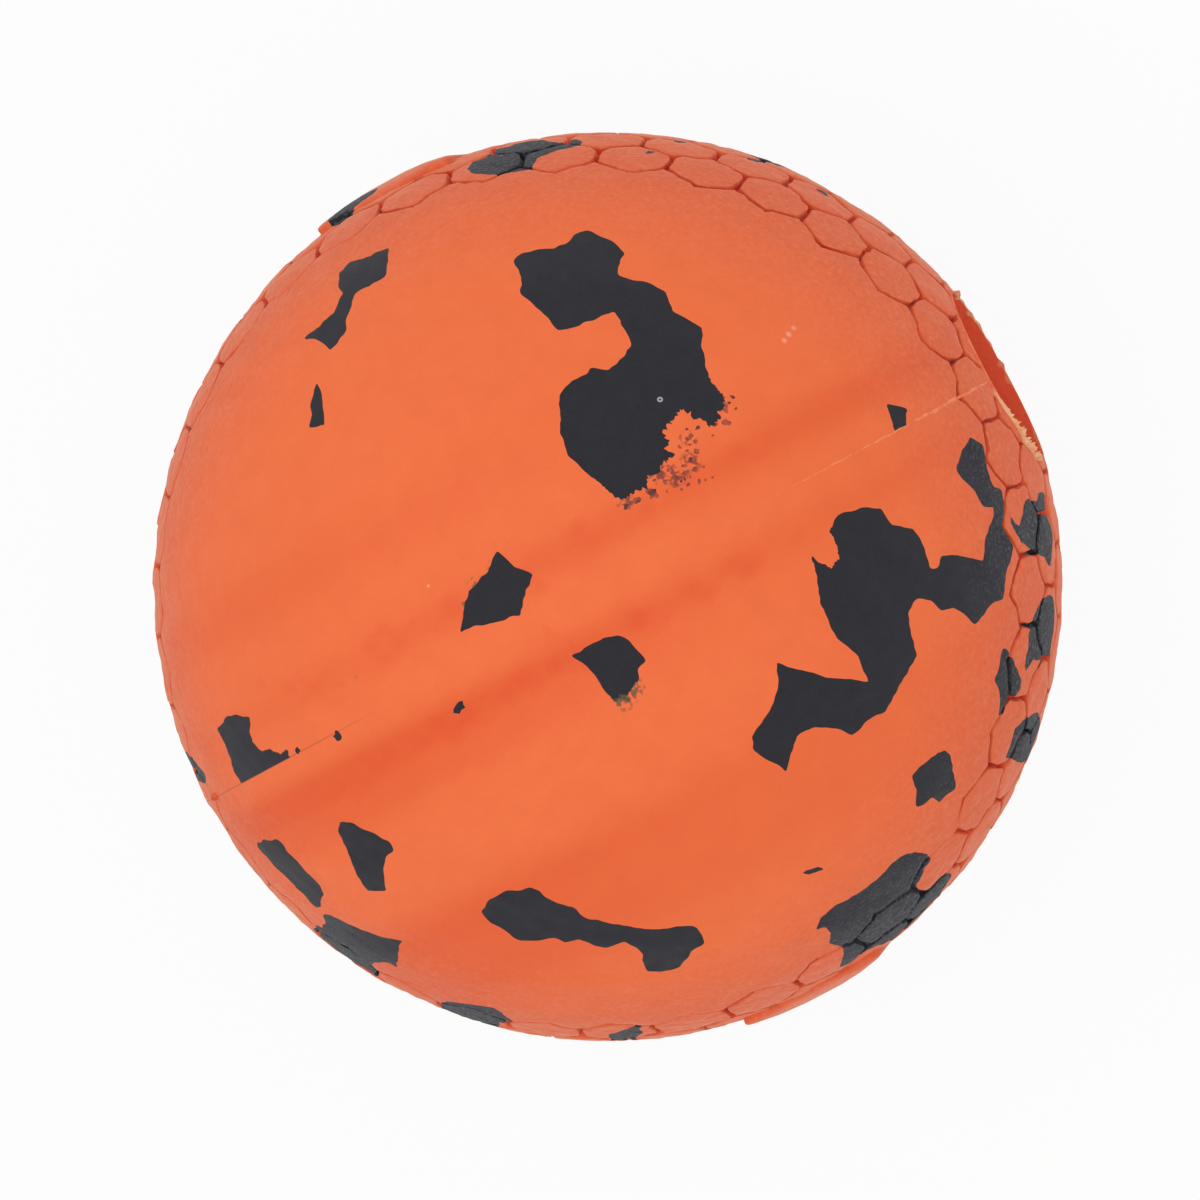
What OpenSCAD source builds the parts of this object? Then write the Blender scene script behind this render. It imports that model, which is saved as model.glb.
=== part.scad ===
// Hollow rubber dog ball: two bonded half shells with a honeycomb belt, a treat hole
// and black rubber flakes sunk flush into the orange wall. Millimetres.
// The origin is the centre of the ball, +X runs out of the treat hole, +Z is the middle
// of one smooth cap, and the halves meet on the plane Y = 0.

/* [Ball] */
// Outer diameter of the ball
ball_d = 75; // [60:1:100]
// Thickness of the rubber wall
wall = 8; // [5:0.5:12]

/* [Treat hole] */
// Diameter of the round hole through the wall
hole_d = 15.5; // [10:0.5:20]

/* [Honeycomb belt] */
// Rows of cells round the belt
rows = 5; // [3:2:5]
// Width of a cell round the belt, from groove to groove
cell_w = 6.2; // [5.5:0.1:8]
// Distance from one row of cells to the next
row_pitch = 5.55; // [4.5:0.05:6]
// Height of the pointed end of a cell
tip_h = 2; // [1:0.1:2.5]
// Width of the grooves between the cells
groove_w = 0.4; // [0.3:0.05:0.8]
// Depth of the grooves
groove_depth = 0.8; // [0.4:0.05:1.2]
// How far the cells crowd towards the hole, in degrees
cell_crowding = 1.4; // [0:0.1:2]

/* [Raised plates] */
// Length of a plate round the belt
plate_l = 12.5; // [8:0.5:18]
// Width of a plate across the belt
plate_w = 13; // [8:0.5:16]
// Radius of the plate's corners
plate_corner_r = 1; // [0.5:0.1:3]
// Height of a plate above the ball
plate_h = 0.65; // [0.3:0.05:1]

/* [Flakes] */
// Thickness of the black flakes
flake_t = 1.4; // [1.3:0.1:2.5]
// Ball diameter at which the flake outlines are drawn
outline_d = 75; // [60:1:100]
// Least width of orange rubber between two flakes
flake_gap = 0.25; // [0.1:0.05:0.5]

/* [Hidden] */
$fn = 128;
ball_r = ball_d / 2;
cavity_r = ball_r - wall;
hole_r = hole_d / 2;
// Cuts run this far past the faces they open
over = 1;
beyond = ball_d;

// Angles that the belt's lengths take up on the ball
row_step = arc_angle(row_pitch);
tip_step = arc_angle(tip_h);
// An even count, so that the seam passes through the middle of a cell at both ends
cells = 2 * round(PI * ball_d / cell_w / 2);
cell_step = 360 / cells;
// Lean, measured from the middle of the cap, at which the belt begins
belt_lean = row_lean(1) - (row_step + tip_step) / 2 - arc_angle(groove_w / 2);
orange = "#EB6C3E";
black = "#2F2E33";

// Outlines of the flakes, seen from outside: X leads away from the +Z cap, Y round the belt
COMMA = [[1.5, 6], [3, 8], [4.2, 10], [6, 10.5], [7.6, 11.8], [8.5, 11.3], [9.5, 9], [10.5, 8],
    [11.8, 7.7], [12.2, 6.8], [11.5, 4.7], [10.5, 3.4], [8.6, 3.4], [8, 3], [8, 0.5], [7.8, -0.8],
    [6.2, -1.8], [5.5, -4.5], [3.8, -5], [1.5, -6.3], [0.4, -7.8], [-1.5, -8.4], [-2.4, -8],
    [-2, -5.2], [-4.5, -4.8], [-6.2, -6], [-7, -5], [-8.5, -4.6], [-10.5, -3.3], [-9.5, -0.2],
    [-8.4, 1.8], [-7, 3], [-4, 4.2], [-3, 3.8], [-2, 2.8], [-1.1, 2.4], [-0.9, 1], [0.5, 0.3],
    [2, 0.1], [3, 1], [4.6, 2.4], [3.4, 3.5], [2.5, 4.5]];
DRAGON = [[-5.6, 5.7], [-4.8, 6.9], [-3.4, 7.1], [-1.8, 7.5], [-0.5, 7.2], [0.2, 5.7], [2.3, 5.5],
    [3.2, 4.1], [3.9, 2.1], [4.7, 2.1], [5.3, 3], [7.3, 2.9], [10.1, 2.1], [11, 4], [12.3, 5.3],
    [12.6, 6.2], [11.1, 6.5], [10.3, 7.8], [8.5, 9.5], [9.6, 10.7], [11.3, 12], [12.9, 11.3],
    [12.9, 9.6], [13.3, 7.9], [14.4, 7.5], [14.5, 6.2], [13.8, 4.8], [15, 3], [14.7, 2.3],
    [13.5, 0.9], [13, -1.1], [11.4, -1.3], [8.8, -2.7], [7.5, -1.8], [6.2, -1.2], [4.8, -1.2],
    [3.7, -0.4], [2.1, -0.1], [1.1, -1.1], [1.3, -2.5], [2.2, -4.6], [0.7, -6.4], [-0.7, -8.8],
    [-2.5, -9.4], [-3.7, -10.5], [-5, -9.8], [-7.3, -9.4], [-8.7, -10.1], [-8.9, -13],
    [-10.5, -11.9], [-12.1, -11], [-12.3, -9.8], [-11.2, -7.8], [-10.6, -5.7], [-10.8, -4.1],
    [-9.1, -4.8], [-6.9, -5.5], [-2.7, -6.3], [-3.7, -4.3], [-5.9, -2.5], [-7.1, 0], [-7.4, 2.7],
    [-7.5, 4], [-6.9, 3.4], [-6, 2.9], [-5.2, 3.6], [-5.1, 4.5]];
BOW = [[-4.4, 3.2], [-3, 3.6], [-1.7, 4.2], [-1, 4.9], [-0.5, 5], [-0.7, 3.5], [-0.6, 2], [0, 1.2],
    [1, 0.5], [2.6, 0.7], [4, 0.2], [4.8, -0.9], [4, -1.8], [3.5, -3], [3.1, -4.4], [0.3, -3.7],
    [-0.7, -3.2], [-0.4, -1.8], [-0.1, -0.2], [-1.2, 0.2], [-2.5, 1.2], [-3.6, 1.4]];
DIAMOND = [[1.1, 4.3], [1.4, 3.2], [2, 2], [2.3, 0.9], [1.7, -1], [1.9, -2.8], [0, -2.5], [-1.2, -2.8],
    [-1.6, -2], [-2.3, 0.5], [-1.3, 1.6], [0.2, 2.9]];
TOOTH = [[-1.2, 2.8], [0, 2.9], [1.8, 2.4], [1.7, 1.5], [2.3, 0.9], [2.2, 0], [2.5, -1.7], [1, -1.5],
    [-1.6, -0.7], [-3.2, -0.8], [-2, 1.6]];
CORNER = [[-3.8, 1.9], [-3, 3], [5, 3], [5.6, 1.4], [4.9, 0.5], [4.8, -1], [5.2, -2.2], [4, -2.6],
    [2.6, -2.9], [1, -2.5], [-0.7, -2.1], [0.3, -0.6], [0.4, 0.1], [-0.3, 0.7], [-1.5, 0.9]];
SLIVER = [[-2.1, 0.8], [-0.8, 1.9], [0.3, 0.9], [1.2, 0.3], [2.1, -0.9], [1, -0.8], [-0.3, -0.2]];
PENNANT = [[-3.5, 1], [-3.2, 1.6], [-2, 1.3], [-0.5, 1.8], [1.7, 2.8], [3.4, 1.7], [2.2, 0.2],
    [0.8, -1.5], [-0.4, -3], [-1.6, -3.2], [-2.4, -2.3], [-3.1, -0.5]];
OAR = [[-2.5, 2.6], [-1.8, 3.1], [0.7, 3.6], [1.6, 3.5], [1.6, 0], [2.2, -3.5], [1.5, -3.7],
    [-1, -3.2], [-2.5, -2.6], [-2.8, -0.5]];
BOOT = [[-4.7, 2.1], [-3.6, 1.9], [-1.9, 2.1], [1, 2.4], [1.1, 1.3], [2.3, 0.7], [4.3, 0.1],
    [6.9, 0.8], [9.7, 0.9], [10.5, -2.5], [9.7, -5.4], [4.6, -5.5], [3.4, -4.7], [-0.6, -4.9],
    [-1.4, -4.4], [-2.1, -3], [-2.4, -1.4], [-3.3, -0.1]];
LENS = [[-3, 1.2], [-2, 2], [-0.8, 2.4], [0.6, 3], [1.4, 2.4], [2.5, 1.5], [8, 1], [9.5, -1.5],
    [8, -4], [2.5, -3.6], [0.8, -3.4], [-0.8, -2.6], [-2, -1.2]];
CRUMB = [[-2, 1.7], [-0.9, 1.6], [1, 1.4], [3, 0.7], [6, 0], [6.5, -1], [5.5, -1.7], [2.5, -1.6],
    [0.4, -1.2], [-0.3, -0.4], [-1, 0.4], [-1.9, 0.9]];
BONE = [[1.7, 7.8], [2.8, 8.3], [4.2, 8.6], [5, 7.2], [6.9, 6.2], [7.1, 5.5], [6.6, 3.4], [4, 3.5],
    [2, 2.4], [2.6, 0.8], [2.2, 0], [1.2, -1], [1.6, -2.4], [1.1, -3], [1.5, -5.8], [0, -7],
    [-1, -8.2], [-2, -8.4], [-3.3, -7.7], [-4.4, -6], [-4.8, -4], [-4.5, -3.3], [-3.2, -2.5],
    [-2.7, -1.1], [-1.3, -0.2], [0.2, 2.5], [0.9, 4], [1.4, 6]];
EMBER = [[-4.9, 1.9], [-4.3, 1.1], [-3.7, 0.8], [-2.6, 1.5], [-1.8, 2.5], [-0.8, 2.9], [0.2, 2.4],
    [1.5, 2.2], [2.5, 2.8], [3.8, 2.9], [5, 2.6], [4.3, 1], [4.8, -0.5], [4, -2], [3.4, -3.1],
    [2.5, -2.9], [1.4, -2.2], [0, -1.8], [-2, -1.5], [-3, -0.9], [-3.5, -0.6], [-4.1, -0.5],
    [-5.2, 1.2]];
HEEL = [[-2.3, 1], [-1.2, 2.1], [0.2, 2.9], [1.8, 3.1], [3.5, 2.7], [4.6, 1.6], [4.9, 0.5],
    [4.3, -0.8], [4.2, -2.3], [0.2, -2.2], [-1.2, -2.1], [-2.4, -3], [-2.9, -2.4], [-2.5, -1],
    [-2.8, 0]];
STRIP = [[-1.8, 2.2], [-1.5, 2.7], [-0.8, 2.6], [0.3, 1.9], [1.5, 1.1], [2.6, 0.2], [3, -0.6],
    [2.4, -1.3], [1.2, -1.4], [1, -2.6], [0, -2.9], [-0.4, -1.6], [-0.9, -0.7], [-2.1, 0]];
WEDGE = [[-3.4, 1], [-2.2, 1.8], [0, 2.1], [2.5, 2.2], [5, 1.4], [7, 0.4], [6.5, -2.4], [2, -2.1],
    [-2.5, -1.5], [-3.5, -1.4], [-3.3, 0]];
PIP = [[-1.2, -1.5], [-1.2, -0.9], [-0.4, 1.1], [0.8, 0.6], [1.4, 0.1], [0.5, -0.8], [0.2, -1.5]];
BELL = [[-2.6, 0], [-1.9, 1.2], [-1, 2.1], [0, 2.6], [1, 2.3], [1.8, 1.7], [2.8, 0.7], [3.9, -0.2],
    [3.2, -0.9], [2.7, -1.7], [1.8, -1.4], [1.1, -1.4], [0.6, -2.2], [-0.1, -2.6], [-0.7, -2],
    [-1.1, -1.2]];
SHOAL = [[-6.9, 3.1], [-6, 4.3], [-4.5, 4.8], [-2.9, 5.1], [-1.7, 5], [-1.4, 3.8], [-0.2, 2.4],
    [2.1, 1.8], [2.9, 2.2], [3.9, 3.9], [5.1, 4.3], [6.5, 4.1], [7.4, 2.6], [9.5, 1.5], [10.5, -1],
    [9, -3.4], [7, -3.6], [5, -4.4], [3.9, -5], [3.8, -6.5], [2.9, -7.4], [0.3, -6], [-1.4, -5.3],
    [-3.9, -5.5], [-5.5, -4.5], [-6.9, -4.3], [-7.5, -4.9], [-8.4, -3.8], [-8.5, -2.4],
    [-7.4, -0.7], [-6.9, 1]];
CREST = [[-3, 2], [-2.6, 3.3], [-1.2, 4.7], [0.6, 5.5], [2.6, 5.1], [3.2, 4.3], [5.5, 4], [7, 1.5],
    [6.5, -0.2], [5, -1], [4.2, -1.8], [5.2, -3], [4, -3.7], [2.2, -3.6], [1.6, -2.2], [0.2, -0.8],
    [-1.5, -0.4], [-2.7, -0.3]];
LIMB = [[-2.6, 0.2], [-2, 0.8], [-1, 1], [3, 0.7], [4.2, -0.6], [3, -2], [0.5, -1.8], [-1.2, -0.8]];
BROW = [[-2.6, 0.9], [-2.4, -0.4], [-1.2, -0.9], [-0.8, -2.2], [0, -3], [1.5, -3.2], [2.6, -1.5],
    [2.4, 0.6], [0.8, 1.4], [-1.2, 1.5]];

// Each flake: node name, outline, lean from the +Z cap, turn from the hole, spin on the spot
FLAKES = [
    ["flake_comma", COMMA, 33, 45, 0],
    ["flake_bow", BOW, 54, 97, 0],
    ["flake_sliver", SLIVER, 42, 111, 0],
    ["flake_diamond", DIAMOND, 6, 120, 0],
    ["flake_corner", CORNER, 46, 175, 0],
    ["flake_pip", PIP, 54, 2, 0],
    ["flake_crest", CREST, 73, 69, 0],
    ["flake_limb", LIMB, 70, 176, 0],
    ["flake_tooth", TOOTH, 10, -65, 0],
    ["flake_pennant", PENNANT, 42, -157, 0],
    ["flake_oar", OAR, 58, -165, 0],
    ["flake_boot", BOOT, 61, -149, 0],
    ["flake_lens", LENS, 69, -133, 0],
    ["flake_crumb", CRUMB, 72, -114, 0],
    ["flake_bone", BONE, 42, -113, 0],
    ["flake_dragon", DRAGON, 45, -26, 0],
    ["flake_ember", EMBER, 77, -20, 0],
    ["flake_heel", HEEL, 77, -33, 0],
    ["flake_strip", STRIP, 68, -39, 0],
    ["flake_wedge", WEDGE, 80, -47, 0],
    ["flake_bell", BELL, 58, -54, 0],
    ["flake_shoal", SHOAL, 71, -73, 0],
    ["flake_brow", BROW, 82, 95.5, 0],
    ["flake_far_ridge", BELL, 94, 41, 90],
    ["flake_far_shelf", STRIP, 95, 28, 20],
    ["flake_far_comma", COMMA, 146, 120, 150],
    ["flake_far_bow", BOW, 126, 30, 70],
    ["flake_far_heel", HEEL, 100, 128, 120],
    ["flake_far_pennant", PENNANT, 117, 152, 40],
    ["flake_far_tooth", TOOTH, 155, 25, 100],
    ["flake_far_bell", BELL, 121, 75, 200],
    ["flake_far_wedge", WEDGE, 93, 158, 90],
    ["flake_far_dragon", DRAGON, 140, -120, 160],
    ["flake_far_bone", BONE, 131, -48, 20],
    ["flake_far_diamond", DIAMOND, 165, -30, 0],
    ["flake_far_ember", EMBER, 101, -118, 80],
    ["flake_far_strip", STRIP, 104, -152, 150],
    ["flake_far_bow_b", BOW, 113, -17, 100],
    ["flake_far_oar", OAR, 96, -60, 100],
    ["flake_far_sliver", SLIVER, 117, -84, 30],
];

// Angle at the ball's centre that a length along its surface takes up
function arc_angle(length) = length / ball_r * 180 / PI;

// Lean of the middle of a row of cells; rows count from the +Z cap
function row_lean(row) = 90 + (row - (rows + 1) / 2) * row_step;

// Turn of the middle of cell k, where halves lie on the grooves between cells
function cell_turn(k) = k * cell_step - cell_crowding * sin(2 * k * cell_step);

// Even rows are shifted by half a cell
function row_shift(row) = row % 2 == 0 ? 0.5 : 0;

// Six corners of a cell, drawn in by half a groove on every side
function cell_outline(half_w) =
    let (
        inset = groove_w / 2,
        slope = tip_h / half_w,
        tip_inset = inset * sqrt(1 + slope * slope),
        tip = (row_pitch + tip_h) / 2 - tip_inset,
        shoulder = tip - slope * (half_w - inset),
        side = half_w - inset
    )
    [[tip, 0], [shoulder, side], [-shoulder, side], [-tip, 0], [-shoulder, -side], [shoulder, -side]];

// Puts children, drawn looking in at the surface from outside, at a lean and a turn
module at_surface(lean, turn) {
    rotate([0, lean, turn])
        children();
}

// Bar under one cell, from below the groove's floor to outside the ball
module cell_bar(row, k) {
    lean = row_lean(row);
    half_w = (cell_turn(k + 0.5) - cell_turn(k - 0.5)) / 2 * PI / 180 * ball_r * sin(lean);
    at_surface(lean, cell_turn(k))
        translate([0, 0, ball_r - groove_depth - over])
            linear_extrude(groove_depth + 3 * over)
                polygon(cell_outline(half_w));
}

// Ring sector that holds the grooves between two turns
module belt_ring(from, to) {
    rotate([0, 0, from])
        rotate_extrude(angle = to - from)
            intersection() {
                difference() {
                    circle(ball_r + over);
                    circle(ball_r - groove_depth);
                }
                polygon([[0, 0], beyond * [sin(belt_lean), cos(belt_lean)], [beyond, 0],
                    beyond * [sin(belt_lean), -cos(belt_lean)]]);
            }
}

// Net of grooves between two turns: the ring less a bar for every cell, with the teeth of
// both caps as the rows before the first and after the last
module groove_net(from, to) {
    difference() {
        belt_ring(from, to);
        for (row = [0 : rows + 1])
            for (k = [floor(from / cell_step) - 1 : ceil(to / cell_step) + 1])
                cell_bar(row, k + row_shift(row));
    }
}

// Plate outline with rounded corners
module plate_outline() {
    square([plate_w - 2 * plate_corner_r, plate_l], center = true);
    square([plate_w, plate_l - 2 * plate_corner_r], center = true);
    for (x = [-1, 1])
        for (y = [-1, 1])
            translate([x * (plate_w / 2 - plate_corner_r), y * (plate_l / 2 - plate_corner_r)])
                circle(plate_corner_r);
}

// Raised plate in the middle of the +Y side, rooted in the wall
module plate() {
    intersection() {
        at_surface(90, 90)
            translate([0, 0, cavity_r + wall / 2])
                linear_extrude(wall)
                    plate_outline();
        sphere(ball_r + plate_h);
    }
}

// Everything on one side of the seam
module side_of_seam(side) {
    translate([-beyond, side > 0 ? 0 : -2 * beyond, -beyond])
        cube(2 * beyond);
}

// Round hole through the wall along +X
module treat_hole() {
    rotate([0, 90, 0])
        cylinder(r = hole_r, h = beyond);
}

// Solid ball with the grooves between two turns, and the plate of the +Y side
module grooved_ball(from, to) {
    difference() {
        sphere(ball_r);
        groove_net(from, to);
    }
    plate();
}

// Half shell on the +Y side without its flakes
module half_blank() {
    difference() {
        grooved_ball(-cell_step, 180 + cell_step);
        sphere(cavity_r);
        treat_hole();
        side_of_seam(-1);
    }
}

// Which side of the seam a flake lies on
function flake_side(flake) = flake[3] > 0 ? 1 : -1;

// Direction of a flake's middle from the centre of the ball
function flake_direction(flake) =
    [sin(flake[2]) * cos(flake[3]), sin(flake[2]) * sin(flake[3]), cos(flake[2])];

// Angle on the ball from a flake's middle to its farthest corner
function flake_reach(flake) = arc_angle(max([for (p = flake[1]) norm(p)]) * ball_d / outline_d);

// Flakes on the same side, earlier in the list, that flake i may reach
function flakes_before(i) = [
    for (j = [0 : 1 : i - 1])
        let (other = FLAKES[j], apart = acos(flake_direction(FLAKES[i]) * flake_direction(other)))
            if (flake_side(other) == flake_side(FLAKES[i])
                && apart < flake_reach(FLAKES[i]) + flake_reach(other) + arc_angle(flake_gap)) other
];

// Outline of a flake at the size of the ball
module flake_outline(flake) {
    scale(ball_d / outline_d)
        polygon(flake[1]);
}

// Carries a flat outline through the surface layer where a flake lies
module through_surface(flake) {
    at_surface(flake[2], flake[3])
        rotate(flake[4])
            translate([0, 0, cavity_r + wall / 4])
                linear_extrude(wall + plate_h)
                    children();
}

// Bar of flake i, stopped short of the flakes before it
module flake_bar(i) {
    difference() {
        through_surface(FLAKES[i])
            flake_outline(FLAKES[i]);
        for (other = flakes_before(i))
            through_surface(other)
                offset(delta = flake_gap, chamfer = true)
                    flake_outline(other);
    }
}

// Half shell with pockets for its flakes
module half(side) {
    difference() {
        mirror([0, side > 0 ? 0 : 1, 0])
            half_blank();
        difference() {
            for (i = [0 : len(FLAKES) - 1])
                if (flake_side(FLAKES[i]) == side)
                    flake_bar(i);
            sphere(ball_r - flake_t);
        }
    }
}

module half_left() {
    color(orange)
        half(1);
}

module half_right() {
    color(orange)
        half(-1);
}

// Black flake i, flush with the ball and grooved where it lies on the belt
module flake(i) {
    lean = FLAKES[i][2];
    side = flake_side(FLAKES[i]);
    reach = flake_reach(FLAKES[i]);
    on_belt = abs(90 - lean) < 90 - belt_lean + reach;
    middle = abs(FLAKES[i][3]);
    spread = reach / sin(lean) + cell_step;
    color(black)
        difference() {
            intersection() {
                flake_bar(i);
                if (on_belt)
                    mirror([0, side > 0 ? 0 : 1, 0])
                        grooved_ball(middle - spread, middle + spread);
                else
                    sphere(ball_r);
            }
            sphere(ball_r - flake_t);
            treat_hole();
            side_of_seam(-side);
        }
}

half_left();
half_right();
for (i = [0 : len(FLAKES) - 1])
    flake(i);
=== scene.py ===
"""Looks of a hollow rubber dog ball: two moulded halves, sunk black flakes and mould flash.

Lengths are written in millimetres and become metres where a mesh is made. The frame is the
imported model's: the origin is the middle of the ball, +X runs out of the treat hole, +Z is
the middle of one smooth cap, and the halves meet on the plane Y = 0. A lean is an angle
from +Z, and a turn is an angle round Z from the hole.
"""

import bmesh
import bpy
import numpy as np
from mathutils import Matrix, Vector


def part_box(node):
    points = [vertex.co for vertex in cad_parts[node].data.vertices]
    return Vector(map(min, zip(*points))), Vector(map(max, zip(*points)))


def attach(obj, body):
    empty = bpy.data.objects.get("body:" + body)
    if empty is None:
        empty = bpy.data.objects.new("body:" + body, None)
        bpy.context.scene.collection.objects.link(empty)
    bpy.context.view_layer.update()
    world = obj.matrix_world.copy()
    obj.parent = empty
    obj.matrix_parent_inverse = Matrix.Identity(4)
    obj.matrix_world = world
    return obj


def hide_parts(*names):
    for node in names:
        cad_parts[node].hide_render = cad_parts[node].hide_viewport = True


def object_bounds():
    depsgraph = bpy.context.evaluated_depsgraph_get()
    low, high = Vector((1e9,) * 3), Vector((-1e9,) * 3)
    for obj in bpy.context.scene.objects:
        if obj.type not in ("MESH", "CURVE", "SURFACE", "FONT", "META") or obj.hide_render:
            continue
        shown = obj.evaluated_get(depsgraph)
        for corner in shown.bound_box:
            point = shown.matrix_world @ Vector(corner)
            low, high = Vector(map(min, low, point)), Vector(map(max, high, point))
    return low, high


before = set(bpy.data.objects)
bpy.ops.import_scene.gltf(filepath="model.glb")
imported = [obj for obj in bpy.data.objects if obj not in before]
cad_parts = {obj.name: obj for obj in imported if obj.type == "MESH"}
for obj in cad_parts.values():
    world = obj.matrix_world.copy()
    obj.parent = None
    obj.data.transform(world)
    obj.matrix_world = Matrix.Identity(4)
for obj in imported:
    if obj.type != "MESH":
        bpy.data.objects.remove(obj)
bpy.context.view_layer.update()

# Sizes of the ball, in millimetres
MM = 0.001
BALL_R = 37.5
WALL = 8.0
HOLE_R = 7.75
FLAKE_T = 1.4
CRUMB_T = 1.0
CAVITY_R = BALL_R - WALL
FLAKE_FLOOR_R = BALL_R - FLAKE_T
CRUMB_FLOOR_R = BALL_R - CRUMB_T
# Distance of the hole's rim from the middle, along X
RIM_X = np.sqrt(BALL_R ** 2 - HOLE_R ** 2)
# Points nearer to each other than this are one, and edges sharper than this are shaded sharp
SAME_PLACE = 0.0005
SHARP_ANGLE = np.radians(38)
# Reach of the boxes that part the halves, and ends of the bar that cuts the hole
BOX_REACH = 60
HOLE_ENDS = (20, 41)

# Honeycomb belt: rows and cells as in the solids, with angles in radians
ROWS = 5
CELLS = 38
ROW_STEP = 5.55 / BALL_R
TIP_STEP = 2.0 / BALL_R
CELL_STEP = 2 * np.pi / CELLS
CROWDING = np.radians(1.4)
# Each of a cell's six edges is drawn with this many parts
EDGE_PARTS = 6
# Rings of a cell: distance in from the middle of the groove, and height above the ball
GROOVE_RINGS = np.array([
    (0, -0.8), (0.09, -0.8), (0.13, -0.7), (0.17, -0.42), (0.19, -0.14),
    (0.23, -0.04), (0.31, -0.01), (0.7, 0.01), (1.45, 0.02), (2.3, 0.02),
])
CELL_APOTHEM = 3.1
CORNER_INSET = 0.17
CORNER_POWER = 13
CAP_RINGS = 60
# Share of the way to the pole over which the cap's zigzag fades out
ZIGZAG_FADE = 0.2

# Bare raised plates in the middle of the two sides
PLATE_L = 12.5
PLATE_W = 13.0
PLATE_CORNER_R = 1.0
PLATE_CORNER_PARTS = 9
PLATE_H = 0.65
# Rings of a plate: share of its outline, and height above its face
PLATE_RINGS = (
    (0.3, 0), (0.6, 0), (0.9, 0), (0.96, -0.02), (0.985, -0.07), (0.997, -0.16), (1, -0.3), (1, -2.5),
)

# Flakes: spacing of points round an outline, and the reach of the bars that cut them
OUTLINE_STEP = 0.15
BAR_FROM = 31.5
BAR_TO = 40.2
# Weights of a point's neighbours and of itself where an outline is softened
SOFTENING = ((-2, 0.08), (-1, 0.22), (0, 0.4), (1, 0.22), (2, 0.08))
# How near a point lies to a flake's floor or to the seam that it counts as on it
FLOOR_NEAR = 0.02
SEAM_NEAR = 0.03
# How far an outline on the seam is pushed across it
SEAM_PAST = 0.8
# A direction that no flake faces
ASKEW = (0.3, 0.5, 0.8)


def unit(vectors):
    """Vectors divided by their lengths."""
    return vectors / np.linalg.norm(vectors, axis=-1, keepdims=True)


def smooth(values, start, end):
    """Smooth step from 0 where a value is at its start to 1 where it is at its end."""
    share = np.clip((values - start) / (end - start), 0, 1)
    return share ** 2 * (3 - 2 * share)


def direction(lean, turn):
    """Unit vector at a lean from +Z and a turn round Z, in radians."""
    lean, turn = np.broadcast_arrays(lean, turn)
    return np.stack([np.sin(lean) * np.cos(turn), np.sin(lean) * np.sin(turn), np.cos(lean)], -1)


# Camera above the ball, leaning towards the hole and turned, as in the photograph
CAMERA_LEAN = np.radians(9)
CAMERA_TURN = np.radians(28.3)
CAMERA_FAR = 15 * BALL_R
SENSOR = 36.0
FOCAL = 203.8
SHIFT_X = -0.0066
SHIFT_Y = -0.0116
# Width and height of the photograph, in pixels
PHOTO_SIZE = 1200
BACK = direction(CAMERA_LEAN, 0)
SLIDE = np.array([np.cos(CAMERA_LEAN), 0, -np.sin(CAMERA_LEAN)])
ACROSS = np.array([0, 1, 0])
RIGHT = np.cos(CAMERA_TURN) * SLIDE - np.sin(CAMERA_TURN) * ACROSS
UP = np.sin(CAMERA_TURN) * SLIDE + np.cos(CAMERA_TURN) * ACROSS


def lifted(pixel):
    """Place on the ball that a pixel of the photograph shows: its ray's first meeting with it."""
    aside = (pixel[0] / PHOTO_SIZE - 0.5 + SHIFT_X) * SENSOR / FOCAL
    above = (0.5 - pixel[1] / PHOTO_SIZE + SHIFT_Y) * SENSOR / FOCAL
    ray = unit(aside * RIGHT + above * UP - BACK)
    nearest = -CAMERA_FAR * (BACK @ ray)
    inside = np.sqrt(max(nearest ** 2 - CAMERA_FAR ** 2 + BALL_R ** 2, 0))
    return CAMERA_FAR * BACK + (nearest - inside) * ray


def make_object(name, points, faces):
    """Object at the origin from points in millimetres and faces as lists of point numbers."""
    mesh = bpy.data.meshes.new(name)
    mesh.from_pydata((np.asarray(points) * MM).tolist(), [], faces)
    mesh.update()
    made = bpy.data.objects.new(name, mesh)
    bpy.context.scene.collection.objects.link(made)
    return made


def joined(parts):
    """One list of points and one of faces from several pairs of them."""
    points, faces, count = [], [], 0
    for part_points, part_faces in parts:
        points.append(part_points)
        faces += [[corner + count for corner in face] for face in part_faces]
        count += len(part_points)
    return np.concatenate(points), faces


def ring_quads(rings, around):
    """Quads between each ring of points and the next, where every ring closes on itself."""
    ring, spot = np.meshgrid(np.arange(rings - 1), np.arange(around), indexing="ij")
    here = ring * around + spot
    beside = ring * around + (spot + 1) % around
    return np.stack([here, beside, beside + around, here + around], -1).reshape(-1, 4)


def ring_fan(first, around, middle):
    """Triangles from a closed ring of points to a point in its middle."""
    spot = np.arange(around)
    return np.stack([first + spot, first + (spot + 1) % around, np.full(around, middle)], -1)


def seal(made):
    """Merges the doubled points of a closed surface and turns its faces outwards."""
    work = bmesh.new()
    work.from_mesh(made.data)
    bmesh.ops.remove_doubles(work, verts=work.verts, dist=SAME_PLACE * MM)
    bmesh.ops.recalc_face_normals(work, faces=work.faces)
    work.to_mesh(made.data)
    work.free()
    return made


def combined(base, tool, operation, name):
    """New object that joins base with tool, cuts tool from it or keeps what both share."""
    step = base.modifiers.new(operation, "BOOLEAN")
    step.solver = "MANIFOLD"
    step.operation = operation
    step.object = tool
    graph = bpy.context.evaluated_depsgraph_get()
    mesh = bpy.data.meshes.new_from_object(base.evaluated_get(graph))
    base.modifiers.remove(step)
    made = bpy.data.objects.new(name, mesh)
    bpy.context.scene.collection.objects.link(made)
    return made


def discard(*objects):
    """Removes helper objects that aren't part of the ball."""
    for helper in objects:
        bpy.data.objects.remove(helper)


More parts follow.
